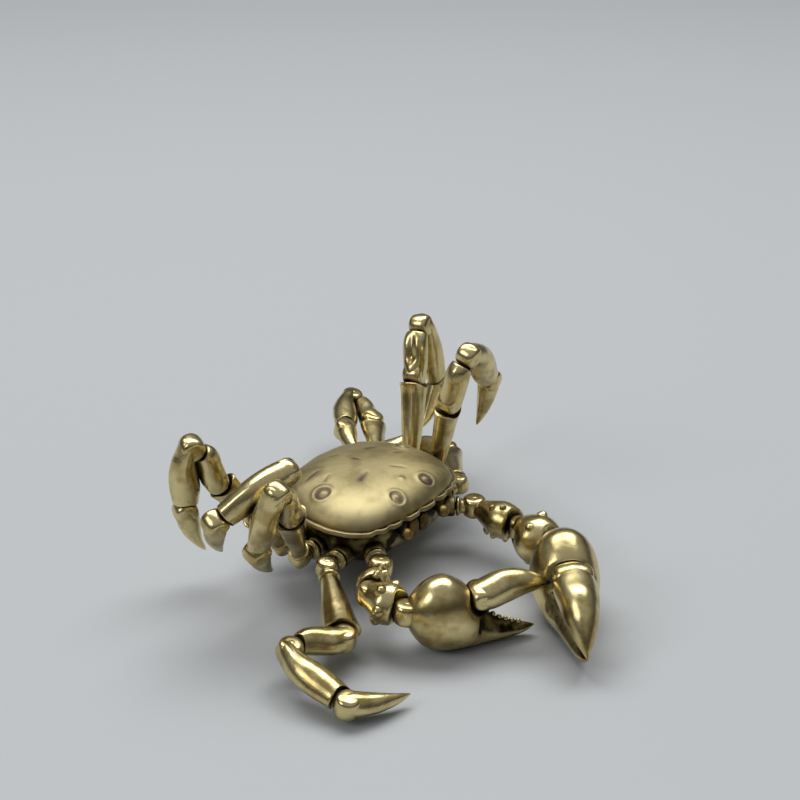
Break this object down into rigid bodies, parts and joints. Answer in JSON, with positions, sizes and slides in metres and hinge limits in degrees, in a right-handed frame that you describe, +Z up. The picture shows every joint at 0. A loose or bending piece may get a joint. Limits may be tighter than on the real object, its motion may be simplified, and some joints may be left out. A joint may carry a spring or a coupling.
{
  "type": "posable crab figurine",
  "caption": "Small cast-metal crab figurine with a domed shell and riveted, posable claws and walking legs.",
  "frame": {"origin": "on the surface it stands on, under the middle of the posed figure's outer box", "axes": "+Z up, -Y the way the face looks, +X the crab's own left"},
  "size_m": [0.065, 0.0701, 0.0295],
  "materials": {
    "limb_brass": "polished, dark in the recesses",
    "shell_brass": "satin, aged",
    "eye_brass": "dull cast"
  },
  "bodies": {
    "shell": {"carapace": "shell_brass", "plastron": "limb_brass", "eye_right": "eye_brass", "eye_left": "eye_brass", "mouthparts": "limb_brass"},
    "leg_r1_coxa": {"leg_r1_coxa": "limb_brass"},
    "leg_r1_stem": {"leg_r1_stem": "limb_brass"},
    "leg_r1_merus": {"leg_r1_merus": "limb_brass"},
    "leg_r1_propodus": {"leg_r1_propodus": "limb_brass"},
    "leg_r1_dactylus": {"leg_r1_dactylus": "limb_brass"},
    "leg_r2_coxa": {"leg_r2_coxa": "limb_brass"},
    "leg_r2_stem": {"leg_r2_stem": "limb_brass"},
    "leg_r2_merus": {"leg_r2_merus": "limb_brass"},
    "leg_r2_propodus": {"leg_r2_propodus": "limb_brass"},
    "leg_r2_dactylus": {"leg_r2_dactylus": "limb_brass"},
    "leg_r3_coxa": {"leg_r3_coxa": "limb_brass"},
    "leg_r3_stem": {"leg_r3_stem": "limb_brass"},
    "leg_r3_merus": {"leg_r3_merus": "limb_brass"},
    "leg_r3_propodus": {"leg_r3_propodus": "limb_brass"},
    "leg_r3_dactylus": {"leg_r3_dactylus": "limb_brass"},
    "leg_r4_coxa": {"leg_r4_coxa": "limb_brass"},
    "leg_r4_stem": {"leg_r4_stem": "limb_brass"},
    "leg_r4_merus": {"leg_r4_merus": "limb_brass"},
    "leg_r4_propodus": {"leg_r4_propodus": "limb_brass"},
    "leg_r4_dactylus": {"leg_r4_dactylus": "limb_brass"},
    "leg_l1_coxa": {"leg_l1_coxa": "limb_brass"},
    "leg_l1_stem": {"leg_l1_stem": "limb_brass"},
    "leg_l1_merus": {"leg_l1_merus": "limb_brass"},
    "leg_l1_propodus": {"leg_l1_propodus": "limb_brass"},
    "leg_l1_dactylus": {"leg_l1_dactylus": "limb_brass"},
    "leg_l2_coxa": {"leg_l2_coxa": "limb_brass"},
    "leg_l2_stem": {"leg_l2_stem": "limb_brass"},
    "leg_l2_merus": {"leg_l2_merus": "limb_brass"},
    "leg_l2_propodus": {"leg_l2_propodus": "limb_brass"},
    "leg_l2_dactylus": {"leg_l2_dactylus": "limb_brass"},
    "leg_l3_coxa": {"leg_l3_coxa": "limb_brass"},
    "leg_l3_stem": {"leg_l3_stem": "limb_brass"},
    "leg_l3_merus": {"leg_l3_merus": "limb_brass"},
    "leg_l3_propodus": {"leg_l3_propodus": "limb_brass"},
    "leg_l3_dactylus": {"leg_l3_dactylus": "limb_brass"},
    "leg_l4_coxa": {"leg_l4_coxa": "limb_brass"},
    "leg_l4_stem": {"leg_l4_stem": "limb_brass"},
    "leg_l4_merus": {"leg_l4_merus": "limb_brass"},
    "leg_l4_propodus": {"leg_l4_propodus": "limb_brass"},
    "leg_l4_dactylus": {"leg_l4_dactylus": "limb_brass"},
    "claw_right_coxa": {"claw_right_coxa": "limb_brass"},
    "claw_right_merus": {"claw_right_merus": "limb_brass"},
    "claw_right_carpus": {"claw_right_carpus": "limb_brass"},
    "claw_right_palm": {"claw_right_palm": "limb_brass"},
    "claw_right_finger": {"claw_right_finger": "limb_brass"},
    "claw_left_coxa": {"claw_left_coxa": "limb_brass"},
    "claw_left_merus": {"claw_left_merus": "limb_brass"},
    "claw_left_carpus": {"claw_left_carpus": "limb_brass"},
    "claw_left_palm": {"claw_left_palm": "limb_brass"},
    "claw_left_finger": {"claw_left_finger": "limb_brass"}
  },
  "joints": [
    {"name": "leg_r1_swivel", "type": "hinge", "parent": "shell", "child": "leg_r1_coxa", "pos_m": [-0.009, 0.00452, 0.00641], "axis": [-0.9945, -0.1045, 0], "range_deg": [-30, 30]},
    {"name": "leg_r1_hip", "type": "hinge", "parent": "leg_r1_coxa", "child": "leg_r1_stem", "pos_m": [-0.01188, 0.00422, 0.00641], "axis": [-0.0217, 0.2068, -0.9781], "range_deg": [-23, 35]},
    {"name": "leg_r1_knee", "type": "hinge", "parent": "leg_r1_stem", "child": "leg_r1_merus", "pos_m": [-0.02122, -0.00706, 0.00423], "axis": [-0.0217, 0.2068, -0.9781], "range_deg": [-35, 12]},
    {"name": "leg_r1_elbow", "type": "hinge", "parent": "leg_r1_merus", "child": "leg_r1_propodus", "pos_m": [-0.02863, -0.00414, 0.00502], "axis": [-0.0217, 0.2068, -0.9781], "range_deg": [-20, 75]},
    {"name": "leg_r1_tip", "type": "hinge", "parent": "leg_r1_propodus", "child": "leg_r1_dactylus", "pos_m": [-0.0303, -0.01558, 0.00263], "axis": [-0.0217, 0.2068, -0.9781], "range_deg": [-28, 50]},
    {"name": "leg_r2_swivel", "type": "hinge", "parent": "shell", "child": "leg_r2_coxa", "pos_m": [-0.0092, 0.00902, 0.00641], "axis": [-0.9994, 0.0349, 0], "range_deg": [-30, 3]},
    {"name": "leg_r2_hip", "type": "hinge", "parent": "leg_r2_coxa", "child": "leg_r2_stem", "pos_m": [-0.0121, 0.00912, 0.00641], "axis": [0.0321, 0.9199, 0.3907], "range_deg": [-35, 35]},
    {"name": "leg_r2_knee", "type": "hinge", "parent": "leg_r2_stem", "child": "leg_r2_merus", "pos_m": [-0.01899, 0.00421, 0.01855], "axis": [0.0321, 0.9199, 0.3907], "range_deg": [-8, 35]},
    {"name": "leg_r2_elbow", "type": "hinge", "parent": "leg_r2_merus", "child": "leg_r2_propodus", "pos_m": [-0.02378, 0.00184, 0.02451], "axis": [0.0321, 0.9199, 0.3907], "range_deg": [0, 75]},
    {"name": "leg_r2_tip", "type": "hinge", "parent": "leg_r2_propodus", "child": "leg_r2_dactylus", "pos_m": [-0.02341, 0.00644, 0.01365], "axis": [0.0321, 0.9199, 0.3907], "range_deg": [-12, 50]},
    {"name": "leg_r3_swivel", "type": "hinge", "parent": "shell", "child": "leg_r3_coxa", "pos_m": [-0.0084, 0.01272, 0.00641], "axis": [-0.9781, 0.2079, 0], "range_deg": [-2, 30]},
    {"name": "leg_r3_hip", "type": "hinge", "parent": "leg_r3_coxa", "child": "leg_r3_stem", "pos_m": [-0.01124, 0.01332, 0.00641], "axis": [0.1853, 0.8715, 0.454], "range_deg": [-35, 35]},
    {"name": "leg_r3_knee", "type": "hinge", "parent": "leg_r3_stem", "child": "leg_r3_merus", "pos_m": [-0.02029, 0.00949, 0.01747], "axis": [0.1853, 0.8715, 0.454], "range_deg": [-27, 29]},
    {"name": "leg_r3_elbow", "type": "hinge", "parent": "leg_r3_merus", "child": "leg_r3_propodus", "pos_m": [-0.01793, 0.00557, 0.02403], "axis": [0.1853, 0.8715, 0.454], "range_deg": [0, 75]},
    {"name": "leg_r3_tip", "type": "hinge", "parent": "leg_r3_propodus", "child": "leg_r3_dactylus", "pos_m": [-0.02713, 0.01042, 0.01846], "axis": [0.1853, 0.8715, 0.454], "range_deg": [-15, 50]},
    {"name": "leg_r4_swivel", "type": "hinge", "parent": "shell", "child": "leg_r4_coxa", "pos_m": [-0.0062, 0.01642, 0.00641], "axis": [-0.8829, 0.4695, 0], "range_deg": [-30, 30]},
    {"name": "leg_r4_hip", "type": "hinge", "parent": "leg_r4_coxa", "child": "leg_r4_stem", "pos_m": [-0.00876, 0.01778, 0.00641], "axis": [0.4677, 0.8796, 0.0872], "range_deg": [-35, 35]},
    {"name": "leg_r4_knee", "type": "hinge", "parent": "leg_r4_stem", "child": "leg_r4_merus", "pos_m": [-0.01659, 0.02092, 0.01672], "axis": [0.4677, 0.8796, 0.0872], "range_deg": [-23, 35]},
    {"name": "leg_r4_elbow", "type": "hinge", "parent": "leg_r4_merus", "child": "leg_r4_propodus", "pos_m": [-0.01983, 0.02202, 0.02306], "axis": [0.4677, 0.8796, 0.0872], "range_deg": [0, 75]},
    {"name": "leg_r4_tip", "type": "hinge", "parent": "leg_r4_propodus", "child": "leg_r4_dactylus", "pos_m": [-0.02054, 0.02344, 0.01255], "axis": [0.4677, 0.8796, 0.0872], "range_deg": [-23, 50]},
    {"name": "leg_l1_swivel", "type": "hinge", "parent": "shell", "child": "leg_l1_coxa", "pos_m": [0.0162, 0.00452, 0.00641], "axis": [0.9945, -0.1045, 0], "range_deg": [-30, 4]},
    {"name": "leg_l1_hip", "type": "hinge", "parent": "leg_l1_coxa", "child": "leg_l1_stem", "pos_m": [0.01908, 0.00422, 0.00641], "axis": [-0.0199, -0.1898, -0.9816], "range_deg": [-1, 35]},
    {"name": "leg_l1_knee", "type": "hinge", "parent": "leg_l1_stem", "child": "leg_l1_merus", "pos_m": [0.02953, 0.01447, 0.00422], "axis": [-0.0199, -0.1898, -0.9816], "range_deg": [-20, 35]},
    {"name": "leg_l1_elbow", "type": "hinge", "parent": "leg_l1_merus", "child": "leg_l1_propodus", "pos_m": [0.03021, 0.0223, 0.00269], "axis": [-0.0199, -0.1898, -0.9816], "range_deg": [-20, 75]},
    {"name": "leg_l1_tip", "type": "hinge", "parent": "leg_l1_propodus", "child": "leg_l1_dactylus", "pos_m": [0.01912, 0.02628, 0.00214], "axis": [-0.0199, -0.1898, -0.9816], "range_deg": [-35, 50]},
    {"name": "leg_l2_swivel", "type": "hinge", "parent": "shell", "child": "leg_l2_coxa", "pos_m": [0.0164, 0.00902, 0.00641], "axis": [0.9994, 0.0349, 0], "range_deg": [-30, 30]},
    {"name": "leg_l2_hip", "type": "hinge", "parent": "leg_l2_coxa", "child": "leg_l2_stem", "pos_m": [0.0193, 0.00912, 0.00641], "axis": [0.0339, -0.9697, -0.2419], "range_deg": [-35, 5]},
    {"name": "leg_l2_knee", "type": "hinge", "parent": "leg_l2_stem", "child": "leg_l2_merus", "pos_m": [0.01813, 0.00551, 0.02072], "axis": [0.0339, -0.9697, -0.2419], "range_deg": [-16, 35]},
    {"name": "leg_l2_elbow", "type": "hinge", "parent": "leg_l2_merus", "child": "leg_l2_propodus", "pos_m": [0.0204, 0.00373, 0.02818], "axis": [0.0339, -0.9697, -0.2419], "range_deg": [-9, 75]},
    {"name": "leg_l2_tip", "type": "hinge", "parent": "leg_l2_propodus", "child": "leg_l2_dactylus", "pos_m": [0.02896, 0.00598, 0.02037], "axis": [0.0339, -0.9697, -0.2419], "range_deg": [-16, 50]},
    {"name": "leg_l3_swivel", "type": "hinge", "parent": "shell", "child": "leg_l3_coxa", "pos_m": [0.0156, 0.01272, 0.00641], "axis": [0.9781, 0.2079, 0], "range_deg": [-30, 30]},
    {"name": "leg_l3_hip", "type": "hinge", "parent": "leg_l3_coxa", "child": "leg_l3_stem", "pos_m": [0.01844, 0.01332, 0.00641], "axis": [0.2048, -0.9633, 0.1736], "range_deg": [-29, 33]},
    {"name": "leg_l3_knee", "type": "hinge", "parent": "leg_l3_stem", "child": "leg_l3_merus", "pos_m": [0.02384, 0.01687, 0.01973], "axis": [0.2048, -0.9633, 0.1736], "range_deg": [-4, 35]},
    {"name": "leg_l3_elbow", "type": "hinge", "parent": "leg_l3_merus", "child": "leg_l3_propodus", "pos_m": [0.02797, 0.01893, 0.02626], "axis": [0.2048, -0.9633, 0.1736], "range_deg": [0, 75]},
    {"name": "leg_l3_tip", "type": "hinge", "parent": "leg_l3_propodus", "child": "leg_l3_dactylus", "pos_m": [0.03098, 0.01753, 0.01493], "axis": [0.2048, -0.9633, 0.1736], "range_deg": [-5, 50]},
    {"name": "leg_l4_swivel", "type": "hinge", "parent": "shell", "child": "leg_l4_coxa", "pos_m": [0.0134, 0.01642, 0.00641], "axis": [0.8829, 0.4695, 0], "range_deg": [-26, 30]},
    {"name": "leg_l4_hip", "type": "hinge", "parent": "leg_l4_coxa", "child": "leg_l4_stem", "pos_m": [0.01596, 0.01778, 0.00641], "axis": [-0.1136, 0.2136, -0.9703], "range_deg": [-35, 33]},
    {"name": "leg_l4_knee", "type": "hinge", "parent": "leg_l4_stem", "child": "leg_l4_merus", "pos_m": [0.02543, 0.0271, 0.00735], "axis": [-0.1136, 0.2136, -0.9703], "range_deg": [-4, 35]},
    {"name": "leg_l4_elbow", "type": "hinge", "parent": "leg_l4_merus", "child": "leg_l4_propodus", "pos_m": [0.02796, 0.03374, 0.00852], "axis": [-0.1136, 0.2136, -0.9703], "range_deg": [0, 75]},
    {"name": "leg_l4_tip", "type": "hinge", "parent": "leg_l4_propodus", "child": "leg_l4_dactylus", "pos_m": [0.01925, 0.02768, 0.0082], "axis": [-0.1136, 0.2136, -0.9703], "range_deg": [-7, 50]},
    {"name": "claw_right_swivel", "type": "hinge", "parent": "shell", "child": "claw_right_coxa", "pos_m": [-0.00575, 0.00022, 0.00681], "axis": [-0.6157, -0.788, 0], "range_deg": [-30, 30]},
    {"name": "claw_right_hip", "type": "hinge", "parent": "claw_right_coxa", "child": "claw_right_merus", "pos_m": [-0.00754, -0.00207, 0.00681], "axis": [0.1097, -0.0857, 0.9903], "range_deg": [-27, 3]},
    {"name": "claw_right_elbow", "type": "hinge", "parent": "claw_right_merus", "child": "claw_right_carpus", "pos_m": [-0.01416, -0.00577, 0.00722], "axis": [0.1097, -0.0857, 0.9903], "range_deg": [-20, 29]},
    {"name": "claw_right_wrist", "type": "hinge", "parent": "claw_right_carpus", "child": "claw_right_palm", "pos_m": [-0.01387, -0.01193, 0.00666], "axis": [0.1097, -0.0857, 0.9903], "range_deg": [-35, 35]},
    {"name": "claw_right_finger", "type": "hinge", "parent": "claw_right_palm", "child": "claw_right_finger", "pos_m": [-0.00552, -0.01801, 0.00783], "axis": [-0.5881, -0.8088, -0.0049], "range_deg": [-12, 32]},
    {"name": "claw_left_swivel", "type": "hinge", "parent": "shell", "child": "claw_left_coxa", "pos_m": [0.01295, 0.00022, 0.00681], "axis": [0.6157, -0.788, 0], "range_deg": [-30, 30]},
    {"name": "claw_left_hip", "type": "hinge", "parent": "claw_left_coxa", "child": "claw_left_merus", "pos_m": [0.01474, -0.00207, 0.00681], "axis": [0.0138, 0.0107, -0.9998], "range_deg": [-35, 0]},
    {"name": "claw_left_elbow", "type": "hinge", "parent": "claw_left_merus", "child": "claw_left_carpus", "pos_m": [0.01394, -0.01115, 0.0067], "axis": [0.0138, 0.0107, -0.9998], "range_deg": [-20, 1]},
    {"name": "claw_left_wrist", "type": "hinge", "parent": "claw_left_carpus", "child": "claw_left_palm", "pos_m": [0.01252, -0.01845, 0.0066], "axis": [0.0138, 0.0107, -0.9998], "range_deg": [-35, 7]},
    {"name": "claw_left_finger", "type": "hinge", "parent": "claw_left_palm", "child": "claw_left_finger", "pos_m": [0.00394, -0.02702, 0.00951], "axis": [-0.7071, 0.7071, -0.0021], "range_deg": [-2, 32]}
  ]
}
